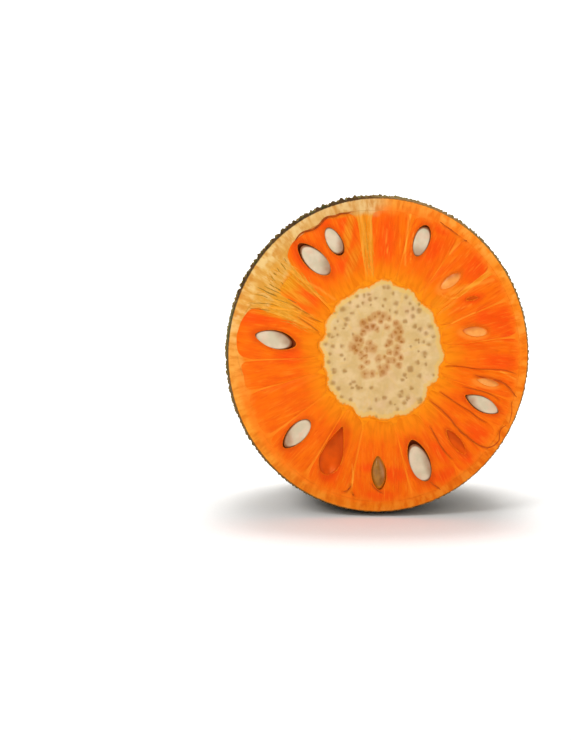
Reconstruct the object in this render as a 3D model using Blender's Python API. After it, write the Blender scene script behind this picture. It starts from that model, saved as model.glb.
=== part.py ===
# Half of a red jackfruit, cut across: spiny rind, fibrous rag, core, flesh pods and seeds.
# Metres, +Z up. The cut face looks along -Y, and the fruit lies on a small flat spot under its belly.
#
# Every shape is worked out in the frame of the cut face: X to the right and Z up in the face,
# Y into the fruit. An empty then lifts the whole half onto the floor.

import math

import bmesh
import bpy
import numpy as np
from mathutils import Matrix, Vector

MM = 0.001
DEG = math.pi / 180

# The whole fruit, to the tips of its spines.
BODY_HALF_WIDTH = 108.0 * MM
BODY_HALF_HEIGHT = 113.7 * MM
BODY_HALF_LENGTH = 138.0 * MM
BODY_BLUNTNESS = 2.4
CUT_BEFORE_MIDDLE = 34.0 * MM
TAIL_DROOP = 5.0 * DEG
FLAT_DEPTH = 3.5 * MM

# The rind: spines of one size, larger than life, on a wall that is thickest at the upper left.
SPINE_SPACING = 12.4 * MM
SPINE_HEIGHT = 4.2 * MM
SPINE_UNEVEN = 0.14
SPINE_SEED = 7
RIND_THICKNESS = 9.0 * MM
FLESH_SHIFT_X = 2.2 * MM
FLESH_SHIFT_Z = -0.9 * MM

# The core, as it shows in the cut face.
CORE_CENTRE_X = 2.8 * MM
CORE_CENTRE_Z = 3.2 * MM
CORE_HALF_WIDTH = 42.5 * MM
CORE_HALF_HEIGHT = 48.5 * MM
CORE_DEPTH = 112.0 * MM
CORE_LOBES = 17
CORE_LOBE_HEIGHT = 0.9 * MM

# Flesh and seeds.
GAP = 0.35 * MM
POD_DEPTH = 24.0 * MM
POD_CORNERS = 3.8
ROUND_DEPTH = 2.5
WEB_INSIDE = 0.035
WEB_OUTSIDE = 0.965

# Each pod: the angles between which it lies, counted from +X towards +Z, and the share of the way
# from core to rind at which it starts and ends.
PODS = (
    (-6.4, 7.4, WEB_INSIDE, WEB_OUTSIDE),
    (9.2, 23.2, WEB_INSIDE, WEB_OUTSIDE),
    (25.0, 36.0, WEB_INSIDE, WEB_OUTSIDE),
    (38.6, 54.6, WEB_INSIDE, WEB_OUTSIDE),
    (56.4, 75.4, WEB_INSIDE, WEB_OUTSIDE),
    (77.2, 92.4, WEB_INSIDE, WEB_OUTSIDE),
    (99.0, 133.0, WEB_INSIDE, WEB_OUTSIDE),
    (136.0, 147.5, WEB_INSIDE, 0.72),
    (158.0, 181.0, WEB_INSIDE, WEB_OUTSIDE),
    (183.0, 195.0, WEB_INSIDE, WEB_OUTSIDE),
    (197.0, 216.0, WEB_INSIDE, WEB_OUTSIDE),
    (218.0, 238.2, WEB_INSIDE, WEB_OUTSIDE),
    (240.2, 257.6, WEB_INSIDE, WEB_OUTSIDE),
    (259.8, 283.0, WEB_INSIDE, WEB_OUTSIDE),
    (285.0, 304.2, WEB_INSIDE, WEB_OUTSIDE),
    (306.0, 317.2, WEB_INSIDE, WEB_OUTSIDE),
    (319.0, 328.2, WEB_INSIDE, 0.93),
    (330.0, 341.0, WEB_INSIDE, WEB_OUTSIDE),
    (342.8, 351.8, WEB_INSIDE, WEB_OUTSIDE),
)

# Each seed: its centre in the face (x, z), the lean of its long axis from +X, its half length and half
# width, how far its centre lies behind the cut, and the side on which its cavity is roomier.
CUT_THROUGH = 0.5
WHOLE = 4.6
SEEDS = (
    (-42.7, 66.9, -44, 13.4, 7.1, CUT_THROUGH, 130),
    (-30.1, 80.2, -61, 10.0, 5.7, CUT_THROUGH, 50),
    (30.8, 80.0, 72, 10.0, 5.2, CUT_THROUGH, 70),
    (51.4, 54.4, 38, 9.6, 4.6, WHOLE, 60),
    (68.0, 18.0, -4, 9.2, 4.6, WHOLE, 110),
    (74.2, -34.0, -27, 12.4, 5.3, CUT_THROUGH, 170),
    (30.0, -76.0, -69, 13.4, 7.2, CUT_THROUGH, 70),
    (0.9, -82.4, -86, 12.2, 6.2, WHOLE, 270),
    (-73.3, 11.4, -14, 13.0, 6.4, CUT_THROUGH, 60),
    (79.6, -19.0, -14, 8.2, 3.2, 3.4, 20),
    (-56.0, -55.0, 47, 12.0, 6.0, CUT_THROUGH, 140),
)
SEED_ROOM = 1.2 * MM
SEED_ASIDE = 0.8
SEED_THICKNESS = 0.85

# Cavities whose seed has fallen out: centre, lean, half length, half width and depth.
EMPTY_CAVITIES = (
    (-30.0, -67.5, 76, 16.0, 5.8, 8.5),
    (56.6, -60.4, -51, 8.6, 2.6, 5.0),
)

MATERIALS = {
    "rind": ((0.16, 0.13, 0.05), 0.62),
    "rag": ((0.86, 0.46, 0.08), 0.45),
    "core": ((0.80, 0.58, 0.27), 0.60),
    "pod": ((0.95, 0.17, 0.015), 0.30),
    "seed": ((0.78, 0.70, 0.54), 0.42),
}


def signed_power(value, exponent):
    """A power that keeps the sign, as superellipses need."""
    return math.copysign(abs(value) ** exponent, value)


def along_the_axis(x, depth, z):
    """A point this deep behind the face, carried down with the drooping axis."""
    return Vector((x, depth, z - depth * math.tan(TAIL_DROOP)))


def body_point(along, around, inset=0.0, aside=(0.0, 0.0)):
    """A point of the blunt egg that the fruit follows: along from -90 to 90 degrees, tail last."""
    power = 2 / BODY_BLUNTNESS
    wide = signed_power(math.cos(along), power)
    return along_the_axis(
        (BODY_HALF_WIDTH - inset) * wide * math.cos(around) + aside[0],
        (BODY_HALF_LENGTH - inset) * signed_power(math.sin(along), power) + CUT_BEFORE_MIDDLE,
        (BODY_HALF_HEIGHT - inset) * wide * math.sin(around) + aside[1],
    )


def ellipse_reach(angle, centre_x, centre_z, half_width, half_height):
    """How far the ellipse's outline lies from the face's centre at this angle."""
    ray = (math.cos(angle) / half_width, math.sin(angle) / half_height)
    start = (centre_x / half_width, centre_z / half_height)
    square = ray[0] ** 2 + ray[1] ** 2
    half = ray[0] * start[0] + ray[1] * start[1]
    rest = start[0] ** 2 + start[1] ** 2 - 1
    return (half + math.sqrt(half**2 - square * rest)) / square


def core_reach(angle):
    """The core's outline in the face, with a low lobe where each row of pods grew from it."""
    smooth = ellipse_reach(angle, CORE_CENTRE_X, CORE_CENTRE_Z, CORE_HALF_WIDTH, CORE_HALF_HEIGHT)
    return smooth + CORE_LOBE_HEIGHT * math.cos(CORE_LOBES * angle)


def flesh_reach(angle):
    """The inside of the rind in the face."""
    before = CUT_BEFORE_MIDDLE / (BODY_HALF_LENGTH - RIND_THICKNESS)
    narrowed = (1 - before**BODY_BLUNTNESS) ** (1 / BODY_BLUNTNESS)
    return ellipse_reach(
        angle,
        FLESH_SHIFT_X,
        FLESH_SHIFT_Z,
        (BODY_HALF_WIDTH - RIND_THICKNESS) * narrowed,
        (BODY_HALF_HEIGHT - RIND_THICKNESS) * narrowed,
    )


def make_material(name):
    colour, roughness = MATERIALS[name]
    material = bpy.data.materials.new(name)
    material.use_nodes = True
    shader = material.node_tree.nodes["Principled BSDF"]
    shader.inputs["Base Color"].default_value = (*colour, 1.0)
    shader.inputs["Roughness"].default_value = roughness
    shader.inputs["Metallic"].default_value = 0.0
    return material


def shaped_sphere(around, along, shape, swell=0.0):
    """A sphere whose poles lie along Y, with every point moved by shape and then swollen."""
    bm = bmesh.new()
    upright = Matrix.Rotation(90 * DEG, 4, "X")
    bmesh.ops.create_uvsphere(bm, u_segments=around, v_segments=along, radius=1.0, matrix=upright)
    for vert in bm.verts:
        vert.co = shape(vert.co.copy())
    bm.normal_update()
    for vert in bm.verts:
        vert.co += vert.normal * swell
    return bm


def cut_at_face(bm):
    """Takes away what lies before the cut and closes the section."""
    everything = bm.verts[:] + bm.edges[:] + bm.faces[:]
    bmesh.ops.bisect_plane(
        bm, geom=everything, dist=1e-6, plane_co=(0, 0, 0), plane_no=(0, -1, 0), clear_outer=True
    )
    rim = [edge for edge in bm.edges if edge.is_boundary]
    for face in bmesh.ops.contextual_create(bm, geom=rim)["faces"]:
        face.normal_update()
        if face.normal.y > 0:
            face.normal_flip()
    return bm


def add_object(name, bm, collection, parent, material=None):
    """A named object made of the bmesh, carried by the empty."""
    mesh = bpy.data.meshes.new(name)
    bm.to_mesh(mesh)
    bm.free()
    obj = bpy.data.objects.new(name, mesh)
    collection.objects.link(obj)
    obj.parent = parent
    if material:
        mesh.materials.append(material)
        mesh.shade_smooth()
        mesh.set_sharp_from_angle(angle=35 * DEG)
    else:
        obj.hide_render = True
        obj.display_type = "WIRE"
    return obj


def cut_away(obj, cutter):
    """A live Boolean difference, by one object or by every object of a collection."""
    modifier = obj.modifiers.new("cut " + cutter.name, "BOOLEAN")
    modifier.operation = "DIFFERENCE"
    modifier.solver = "EXACT"
    if isinstance(cutter, bpy.types.Collection):
        modifier.operand_type = "COLLECTION"
        modifier.collection = cutter
    else:
        modifier.object = cutter


def spine_tips():
    """Tips of the spines, in the one spiral that fills the whole fruit evenly, tail last."""
    steps = np.linspace(-math.pi / 2, math.pi / 2, 4001)
    power = 2 / BODY_BLUNTNESS
    wide = np.clip(np.cos(steps), 0, 1) ** power * (BODY_HALF_WIDTH + BODY_HALF_HEIGHT) / 2
    length = np.sign(np.sin(steps)) * np.abs(np.sin(steps)) ** power * BODY_HALF_LENGTH
    stretch = np.hypot(np.diff(wide), np.diff(length))
    area = np.concatenate([[0], np.cumsum(math.tau * (wide[1:] + wide[:-1]) / 2 * stretch)])
    hexagon = math.sqrt(3) / 2 * SPINE_SPACING**2
    count = round(area[-1] / hexagon)
    golden_turn = math.pi * (3 - math.sqrt(5))
    along = np.interp((np.arange(count) + 0.5) / count * area[-1], area, steps)
    return [body_point(a, i * golden_turn) for i, a in enumerate(along)]


def spiny_body(tips):
    """Six-sided pyramids, one on each tip: the tips' hull gives their neighbours, and the middle of
    each triangle between three tips is pressed in as the valley where three pyramids meet."""
    heights = np.random.default_rng(SPINE_SEED).uniform(1 - SPINE_UNEVEN, 1, len(tips))
    bm = bmesh.new()
    for tip in tips:
        bm.verts.new(tip)
    bmesh.ops.convex_hull(bm, input=bm.verts[:])
    bm.normal_update()
    outward = [vert.normal.copy() for vert in bm.verts]
    ridges = bm.edges[:]
    valleys = bmesh.ops.poke(bm, faces=bm.faces[:])["verts"]
    bmesh.ops.rotate_edges(bm, edges=ridges, use_ccw=True)
    bm.normal_update()
    for vert in valleys:
        vert.co -= vert.normal * SPINE_HEIGHT
    for vert, normal, height in zip(bm.verts[: len(tips)], outward, heights):
        vert.co -= normal * SPINE_HEIGHT * (1 - height)
    return bm


def flesh_body(swell=0.0):
    """What the rind holds, as a smooth blunt egg."""

    def shape(point):
        along = math.asin(max(-1.0, min(1.0, point.y)))
        around = math.atan2(point.z, point.x)
        return body_point(along, around, RIND_THICKNESS, (FLESH_SHIFT_X, FLESH_SHIFT_Z))

    return shaped_sphere(36, 12, shape, swell)


def core_body(swell=0.0):
    """A lobed plug that narrows towards the tail."""

    def shape(point):
        angle = math.atan2(point.z, point.x)
        out = signed_power(math.hypot(point.x, point.z), 2 / ROUND_DEPTH)
        depth = CORE_DEPTH * signed_power(point.y, 2 / ROUND_DEPTH)
        reach = core_reach(angle)
        middle = (CORE_CENTRE_X * (1 - out), CORE_CENTRE_Z * (1 - out))
        x = middle[0] + reach * out * math.cos(angle)
        z = middle[1] + reach * out * math.sin(angle)
        return along_the_axis(x, depth, z)

    return shaped_sphere(CORE_LOBES * 4, 6, shape, swell)


def pod_body(pod, swell=0.0):
    """A fleshy wedge with round corners, fitted between core and rind."""
    start, end, inner, outer = pod
    middle, half = (start + end) / 2 * DEG, (end - start) / 2 * DEG

    def shape(point):
        turn = math.atan2(point.z, point.x)
        out = signed_power(math.hypot(point.x, point.z), 2 / ROUND_DEPTH)
        angle = middle + half * out * signed_power(math.sin(turn), 2 / POD_CORNERS)
        way = (inner + outer) / 2 + (outer - inner) / 2 * out * signed_power(math.cos(turn), 2 / POD_CORNERS)
        reach = core_reach(angle) + way * (flesh_reach(angle) - core_reach(angle))
        depth = POD_DEPTH * signed_power(point.y, 2 / ROUND_DEPTH)
        return along_the_axis(reach * math.cos(angle), depth, reach * math.sin(angle))

    return shaped_sphere(20, 6, shape, swell)


def egg_body(x, z, lean, half_length, half_width, half_depth, behind, room=0.0):
    """An egg lying in the face, its sizes and place in metres."""
    turn = Matrix.Rotation(-lean * DEG, 3, "Y")

    def shape(point):
        along = point.x * (half_length + room)
        across = point.z * (half_width + room)
        depth = point.y * (half_depth + room)
        return turn @ Vector((along, depth, across)) + Vector((x, behind, z))

    return shaped_sphere(14, 6, shape)


def build_half():
    for obj in list(bpy.data.objects):
        bpy.data.objects.remove(obj)
    fruit = bpy.data.collections.new("red_jackfruit_half")
    cutters = bpy.data.collections.new("cutters")
    pockets = bpy.data.collections.new("pockets")
    for collection in (fruit, cutters, pockets):
        bpy.context.scene.collection.children.link(collection)
    materials = {name: make_material(name) for name in MATERIALS}

    skin = cut_at_face(spiny_body(spine_tips()))
    sideways, deep, upright = (
        [getattr(vert.co, axis) for vert in skin.verts] for axis in ("x", "y", "z")
    )
    floor = min(upright) + FLAT_DEPTH
    stand = bpy.data.objects.new("stand", None)
    stand.location = (-(min(sideways) + max(sideways)) / 2, -max(deep) / 2, -floor)
    fruit.objects.link(stand)

    rind = add_object("rind", skin, fruit, stand, materials["rind"])
    cut_away(rind, add_object("rind_hollow", flesh_body(GAP), cutters, stand))
    slab = bmesh.new()
    slab_size = 4 * BODY_HALF_LENGTH
    below = Matrix.Translation((0, 0, floor - slab_size / 2))
    bmesh.ops.create_cube(slab, size=slab_size, matrix=below)
    cut_away(rind, add_object("floor_slab", slab, cutters, stand))

    add_object("core", cut_at_face(core_body()), fruit, stand, materials["core"])
    add_object("core_pocket", core_body(GAP), pockets, stand)

    cavities = []
    for number, (*sizes, side) in enumerate(SEEDS, 1):
        lean = sizes.pop(2)
        x, z, long, wide, behind = (size * MM for size in sizes)
        deep = wide * SEED_THICKNESS
        seed = egg_body(x, z, lean, long, wide, deep, behind)
        add_object(f"seed_{number:02d}", cut_at_face(seed), fruit, stand, materials["seed"])
        aside_x = x + SEED_ASIDE * MM * math.cos(side * DEG)
        aside_z = z + SEED_ASIDE * MM * math.sin(side * DEG)
        cavity = egg_body(aside_x, aside_z, lean, long, wide, deep, behind, SEED_ROOM)
        cavities.append((math.atan2(z, x) / DEG % 360, cavity))
    for x, z, lean, long, wide, deep in EMPTY_CAVITIES:
        cavity = egg_body(x * MM, z * MM, lean, long * MM, wide * MM, deep * MM, 0.0)
        cavities.append((math.atan2(z, x) / DEG % 360, cavity))

    for number, pod in enumerate(PODS, 1):
        name = f"pod_{number:02d}"
        obj = add_object(name, cut_at_face(pod_body(pod)), fruit, stand, materials["pod"])
        add_object(name + "_pocket", pod_body(pod, GAP), pockets, stand)
        for angle, cavity in cavities:
            if pod[0] < angle < pod[1]:
                cut_away(obj, add_object(f"{name}_cavity_{angle:.0f}", cavity, cutters, stand))

    rag = add_object("rag", cut_at_face(flesh_body()), fruit, stand, materials["rag"])
    cut_away(rag, pockets)


build_half()
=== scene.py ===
import math

import bpy
import numpy as np
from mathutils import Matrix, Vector


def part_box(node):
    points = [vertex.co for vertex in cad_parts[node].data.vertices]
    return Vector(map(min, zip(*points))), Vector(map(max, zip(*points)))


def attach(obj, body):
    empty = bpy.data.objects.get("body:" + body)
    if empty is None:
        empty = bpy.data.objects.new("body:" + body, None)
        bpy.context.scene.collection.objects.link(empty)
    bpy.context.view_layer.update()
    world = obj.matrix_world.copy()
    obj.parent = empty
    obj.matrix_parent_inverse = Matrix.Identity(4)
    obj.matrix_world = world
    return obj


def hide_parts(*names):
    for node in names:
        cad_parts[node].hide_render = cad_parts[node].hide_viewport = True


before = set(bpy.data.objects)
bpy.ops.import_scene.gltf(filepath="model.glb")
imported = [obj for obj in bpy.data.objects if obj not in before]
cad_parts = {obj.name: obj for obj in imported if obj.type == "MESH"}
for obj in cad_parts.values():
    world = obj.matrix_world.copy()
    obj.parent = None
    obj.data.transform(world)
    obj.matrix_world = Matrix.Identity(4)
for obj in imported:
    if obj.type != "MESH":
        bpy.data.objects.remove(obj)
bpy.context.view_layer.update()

# Shapes are worked out in the frame of the cut face, in millimetres:
# x to the right, z up, y into the fruit, from the middle of the face.
mm = 0.001
tau = math.tau
fruit = {
    "middle": (0.17, 114.55),  # of the cut face: x, and the height above the floor
    "halfWidth": 108.0,
    "halfHeight": 113.7,
    "halfLength": 138.0,
    "bluntness": 2.4,
    "cutBeforeMiddle": 34.0,
    "tailDroop": 5.0,  # degrees
    "skinInset": 1.5,  # from the tips of the spines down to the skin between them
    "rindThickness": 9.0,
    "fleshAside": (2.2, -0.9),
    "bulges": (  # angle, and the percentage by which the flesh pushes into the wall there
        (94, 0), (100, 1.2), (105, 2.2), (112, 3), (115, 0.9), (119.5, 1.7), (126, 1.5), (131, 0),
        (158, 0), (166, 4), (172, 5.4), (179, 4), (188, 0),
    ),
}
heart = {
    "aside": (2.8, 3.2),
    "halfWidth": 42.5,
    "halfHeight": 48.5,
    "depth": 112.0,
    "lobes": 17,
    "lobeHeight": 0.9,
    "unevenness": 0.7,
}
faceMiddle = Vector((fruit["middle"][0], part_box("core")[0].y / mm, fruit["middle"][1]))
droop = math.tan(math.radians(fruit["tailDroop"]))
print("frame loaded: the cut lies at y =", round(faceMiddle.y, 2), "mm")


# One socket of a node tree. Arithmetic on it adds Math nodes, in shaders and in geometry trees alike.
class Wire:
    def __init__(self, nodes, socket):
        self.nodes, self.socket = nodes, socket

    def math(self, operation, *values):
        return self.nodes.add("ShaderNodeMath", {"operation": operation}, dict(enumerate(values)))

    def step(self, low, high):  # 0 at low, 1 at high, soft between; low may be above high
        settings = {"interpolation_type": "SMOOTHSTEP"}
        sockets = {"Value": self, "From Min": low, "From Max": high}
        return self.nodes.add("ShaderNodeMapRange", settings, sockets, out="Result")


def mathMethod(operation, reflected):
    def method(self, other):
        return self.math(operation, *((other, self) if reflected else (self, other)))

    return method


operations = {"add": "ADD", "sub": "SUBTRACT", "mul": "MULTIPLY", "truediv": "DIVIDE", "pow": "POWER"}
for sign, operation in operations.items():
    setattr(Wire, f"__{sign}__", mathMethod(operation, False))
    setattr(Wire, f"__r{sign}__", mathMethod(operation, True))


# Makes each node from its type, its settings (set first) and the values or links of its sockets.
class Nodes:
    def __init__(self, tree):
        self.tree = tree

    def feed(self, socket, value):
        if isinstance(value, Wire):
            self.tree.links.new(value.socket, socket)
        elif value is not None:
            socket.default_value = value

    def add(self, kind, settings=None, sockets=None, out=0):
        node = self.tree.nodes.new(kind)
        for name, value in (settings or {}).items():
            if name == "stops":
                ramp = node.color_ramp.elements
                while len(ramp) < len(value):
                    ramp.new(1.0)
                for element, (place, colour) in zip(ramp, value):
                    element.position, element.color = place, colour
            else:
                setattr(node, name, value)
        for name, value in (sockets or {}).items():
            self.feed(node.inputs[name], value)
        if isinstance(out, tuple):
            return [Wire(self, node.outputs[name]) for name in out]
        return Wire(self, node.outputs[out])

    def mix(self, factor, first, second, blend="MIX"):
        first, second = (tint(c) if isinstance(c, str) else c for c in (first, second))
        settings = {"data_type": "RGBA", "blend_type": blend, "clamp_factor": True}
        return self.add("ShaderNodeMix", settings, {0: factor, 6: first, 7: second}, out=2)

    def over(self, colour, *coats):  # each coat is how much of it shows, and its colour
        for share, coat in coats:
            colour = self.mix(share, colour, coat)
        return colour

    def noise(self, vector, scale, detail=2.0, roughness=0.5):
        sockets = {"Vector": vector, "Scale": scale, "Detail": detail, "Roughness": roughness}
        return self.add("ShaderNodeTexNoise", None, sockets)

    def vector(self, x, y, z=0.0):
        return self.add("ShaderNodeCombineXYZ", None, {0: x, 1: y, 2: z})

    def parts(self, vector):
        return self.add("ShaderNodeSeparateXYZ", None, {0: vector}, out=(0, 1, 2))

    def attribute(self, name):
        return self.add("ShaderNodeAttribute", {"attribute_name": name}, out="Fac")


def tint(code):  # a screen colour such as ff8800, as the shaders' linear colour
    parts = [int(code[i : i + 2], 16) / 255 for i in (0, 2, 4)]
    return tuple(p / 12.92 if p <= 0.04045 else ((p + 0.055) / 1.055) ** 2.4 for p in parts) + (1.0,)


# A new material with its shader: constants are set straight on the sockets, maps are linked.
# Places are in the face's millimetres; turn runs from 0 to 1 counter-clockwise from the right.
class Finish(Nodes):
    def __init__(self, name, **constants):
        self.material = bpy.data.materials.new(name)
        self.material.use_nodes = True
        super().__init__(self.material.node_tree)
        self.shader = self.tree.nodes["Principled BSDF"].inputs
        for socket, value in {"Specular_Tint": (1.0, 0.85, 0.7, 1.0), **constants}.items():
            self.shader[socket.replace("_", " ")].default_value = value
        world = self.parts(self.add("ShaderNodeTexCoord", out="Object"))
        self.x, self.y, self.z = (world[i] / mm - faceMiddle[i] for i in range(3))
        self.place = self.vector(self.x, self.y, self.z)
        self.radius = (self.x * self.x + self.z * self.z) ** 0.5
        turn = self.x.math("ARCTAN2", self.z, self.x) / tau
        self.turn = turn.math("WRAP", turn, 1.0, 0.0)

    def cloud(self, scale, detail=2.0):
        return self.noise(self.place, scale, detail)

    def streaks(self, across, along, detail, roughness=0.5):  # noise that runs away from the middle
        far = self.radius
        place = self.vector(self.x / far * across, self.z / far * across, far * along)
        return self.noise(place, 1.0, detail, roughness)

    def outward(self):  # 1 on the skin's outline in the cut, less inside it
        wide, high = cutOutline(fruit["skinInset"])
        return ((self.x / wide) ** 2 + (self.z / high) ** 2) ** 0.5

    def around(self, *stops):  # a value or colour that changes with the angle, in degrees
        places = [(at / 360, tint(c) if isinstance(c, str) else (c, c, c, 1.0)) for at, c in stops]
        return self.add("ShaderNodeValToRGB", {"stops": places}, {0: self.turn})

    def done(self, colour, rough=None, height=None, distance=0.4, strength=1.0):
        self.feed(self.shader["Base Color"], colour)
        self.feed(self.shader["Roughness"], rough)
        if height:
            sockets = {"Height": height, "Distance": distance * mm, "Strength": strength}
            self.feed(self.shader["Normal"], self.add("ShaderNodeBump", None, sockets))
        return self.material


# A geometry tree with a named input for its mesh and for each value of a dictionary.
class Growth(Nodes):
    def __init__(self, name, source, values):
        super().__init__(bpy.data.node_groups.new(name, "GeometryNodeTree"))
        kinds = {float: "NodeSocketFloat", int: "NodeSocketInt"}
        panel = self.tree.interface
        panel.new_socket(source, in_out="INPUT", socket_type="NodeSocketGeometry")
        panel.new_socket("Grown", in_out="OUTPUT", socket_type="NodeSocketGeometry")
        self.given = {}
        for key, value in values.items():
            item = panel.new_socket(inputName(key), in_out="INPUT", socket_type=kinds[type(value)])
            self.given[item.identifier] = value
        given = self.tree.nodes.new("NodeGroupInput").outputs
        self.source, *taken = (Wire(self, socket) for socket in given if socket.name)
        self.take = dict(zip(values, taken))

    def growOn(self, obj, grown, material):
        real = self.add("GeometryNodeRealizeInstances", None, {0: grown})
        done = self.add("GeometryNodeSetMaterial", None, {0: real, "Material": material})
        self.feed(self.tree.nodes.new("NodeGroupOutput").inputs[0], done)
        modifier = obj.modifiers.new(self.tree.name, "NODES")
        modifier.node_group = self.tree
        for identifier, value in self.given.items():
            modifier[identifier] = value


def inputName(key):  # shoulderHeight becomes Shoulder Height
    return "".join(" " + c if c.isupper() else c for c in key).title()


def signedPower(value, power):
    return np.sign(value) * np.abs(value) ** power


# The blunt egg of the whole body: along runs from -pi/2 to pi/2, with the tail last.
def bodyPoints(along, around, inset=0.0, aside=(0.0, 0.0), swell=1.0):
    power = 2 / fruit["bluntness"]
    wide = np.clip(np.cos(along), 0, 1) ** power * swell
    y = (fruit["halfLength"] - inset) * signedPower(np.sin(along), power) + fruit["cutBeforeMiddle"]
    x = (fruit["halfWidth"] - inset) * wide * np.cos(around) + aside[0]
    z = (fruit["halfHeight"] - inset) * wide * np.sin(around) + aside[1] - y * droop
    return np.stack(np.broadcast_arrays(x, y, z), axis=-1)


def cutOutline(inset):  # half width and half height of the body's section in the cut
    before = fruit["cutBeforeMiddle"] / (fruit["halfLength"] - inset)
    narrowed = (1 - before ** fruit["bluntness"]) ** (1 / fruit["bluntness"])
    return (fruit["halfWidth"] - inset) * narrowed, (fruit["halfHeight"] - inset) * narrowed


def ellipseReach(angle, aside, halfWidth, halfHeight):  # from the face's middle to the outline
    rayX, rayZ = np.cos(angle) / halfWidth, np.sin(angle) / halfHeight
    startX, startZ = aside[0] / halfWidth, aside[1] / halfHeight
    square = rayX**2 + rayZ**2
    half = rayX * startX + rayZ * startZ
    return (half + np.sqrt(half**2 - square * (startX**2 + startZ**2 - 1))) / square


def coreReach(angle):
    smooth = ellipseReach(angle, heart["aside"], heart["halfWidth"], heart["halfHeight"])
    uneven = np.sin(5 * angle + 0.9) + np.sin(8 * angle + 2.6) + 0.7 * np.sin(13 * angle + 0.4)
    return smooth + heart["lobeHeight"] * np.cos(heart["lobes"] * angle) + heart["unevenness"] * uneven


def fleshBulge(angle):
    degrees, shares = np.array(fruit["bulges"]).T
    return 1 + np.interp(np.degrees(angle) % 360, degrees, shares) / 100


def fleshReach(angle):
    smooth = ellipseReach(angle, fruit["fleshAside"], *cutOutline(fruit["rindThickness"]))
    return smooth * fleshBulge(angle)


def fleshPoints(along, around, inset=0.0):
    return bodyPoints(along, around, fruit["rindThickness"] + inset, fruit["fleshAside"], fleshBulge(around))


def wayOut(angle, way):  # the reach at this share of the way from core to rind
    return coreReach(angle) + way * (fleshReach(angle) - coreReach(angle))


def heartRing(turn, reach, share, back=0.0):  # x and z of a ring at this share of the core's reach
    x = heart["aside"][0] * (1 - share) + reach * share * np.cos(turn)
    z = heart["aside"][1] * (1 - share) + reach * share * np.sin(turn) - back * droop
    return x, z


def rounded(step, depth):  # a share of the width and a depth, from the face at 0 to the far end at 1
    return math.cos(step * math.pi / 2) ** 0.8, depth * math.sin(step * math.pi / 2) ** 0.8


def circle(count):
    return np.linspace(0, tau, count, endpoint=False)


def halfCircle(count):
    return np.linspace(-math.pi / 2, math.pi / 2, count)


def smoothStep(value, low, high):
    t = np.clip((value - low) / (high - low), 0, 1)
    return t * t * (3 - 2 * t)


def waves(across, along, count, shortest, longest, drift, seed):  # a band-limited wander, about -1 to 1
    draw = np.random.default_rng(seed)
    total = 0.0
    for _ in range(count):
        length = draw.uniform(shortest, longest)
        slant = drift * draw.uniform(-1, 1)
        total = total + np.sin(tau * (across + slant * along) / length + draw.uniform(0, tau))
    return total / math.sqrt(count)


def leant(x, z, lean, along, across):  # x and z of places in an oval that leans by these degrees
    c, s = math.cos(math.radians(lean)), math.sin(math.radians(lean))
    return x + along * c - across * s, z + along * s + across * c


def ovalNearness(x, z, oval):  # 0 in the oval's middle, 1 on its outline in the face, more outside
    along, across = leant(0, 0, -oval[2], x - oval[0], z - oval[1])
    return np.hypot(along / oval[3], across / oval[4])


def stain(x, z, ovals, inner, outer):  # 1 inside the ovals, fading out between the two bounds
    total = np.zeros(np.shape(x))
    for oval in ovals:
        strength = oval[5] if len(oval) == 6 else 1.0
        total = np.maximum(total, strength * (1 - smoothStep(ovalNearness(x, z, oval), inner, outer)))
    return total


def besideLines(x, z, lines):  # 1 on the lines, 0 from a little beyond their width
    total = np.zeros(np.shape(x))
    for width, *path in lines:
        path = np.reshape(path, (-1, 2))
        for (x1, z1), (x2, z2) in zip(path, path[1:]):
            run = max((x2 - x1) ** 2 + (z2 - z1) ** 2, 1e-6)
            t = np.clip(((x - x1) * (x2 - x1) + (z - z1) * (z2 - z1)) / run, 0, 1)
            far = np.hypot(x - x1 - t * (x2 - x1), z - z1 - t * (z2 - z1))
            total = np.maximum(total, 1 - smoothStep(far, 0.5 * width, 3.6 * width))
    return total


# Rings of points, each closed round, in the face's millimetres. Both ends are drawn together in a point.
def ringMesh(name, rings, attributes=None):
    rings = np.array(rings, float)
    count, around = rings.shape[:2]
    grid = np.arange(count * around).reshape(count, around)
    keep = np.ones(count * around, bool)
    for end in (0, -1):
        rings[end] = rings[end].mean(0)
        keep[grid[end][1:]] = False
        grid[end] = grid[end][0]
    renumber = np.cumsum(keep) - 1
    faces = []
    for a, b in zip(grid[:-1], grid[1:]):
        for i in range(around):
            j = (i + 1) % around
            corners = [a[i], b[i], b[j], a[j]]
            faces.append([int(renumber[c]) for n, c in enumerate(corners) if c != corners[n - 1]])
    points = ((rings.reshape(-1, 3) + np.array(faceMiddle)) * mm)[keep]
    mesh = bpy.data.meshes.new(name)
    mesh.from_pydata(points.tolist(), [], faces)
    for key, values in (attributes or {}).items():
        layer = mesh.attributes.new(key, "FLOAT", "POINT")
        layer.data.foreach_set("value", np.asarray(values, np.float32).reshape(-1)[keep])
    mesh.shade_smooth()
    return place(name, mesh)


class Rings:  # gathered one by one, with the attributes of their points
    def __init__(self, turn, *names):
        self.turn, self.rings, self.layers = turn, [], {name: [] for name in names}

    def add(self, x, y, z, **values):
        self.rings.append(np.stack([x, y + 0 * self.turn, z], -1))
        for key, layer in self.layers.items():
            layer.append(values.get(key, 0.0) + 0 * self.turn)

    def mesh(self, name):
        return ringMesh(name, self.rings, self.layers)


def place(name, data):
    obj = bpy.data.objects.new(name, data)
    bpy.context.scene.collection.objects.link(obj)
    return obj


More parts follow.
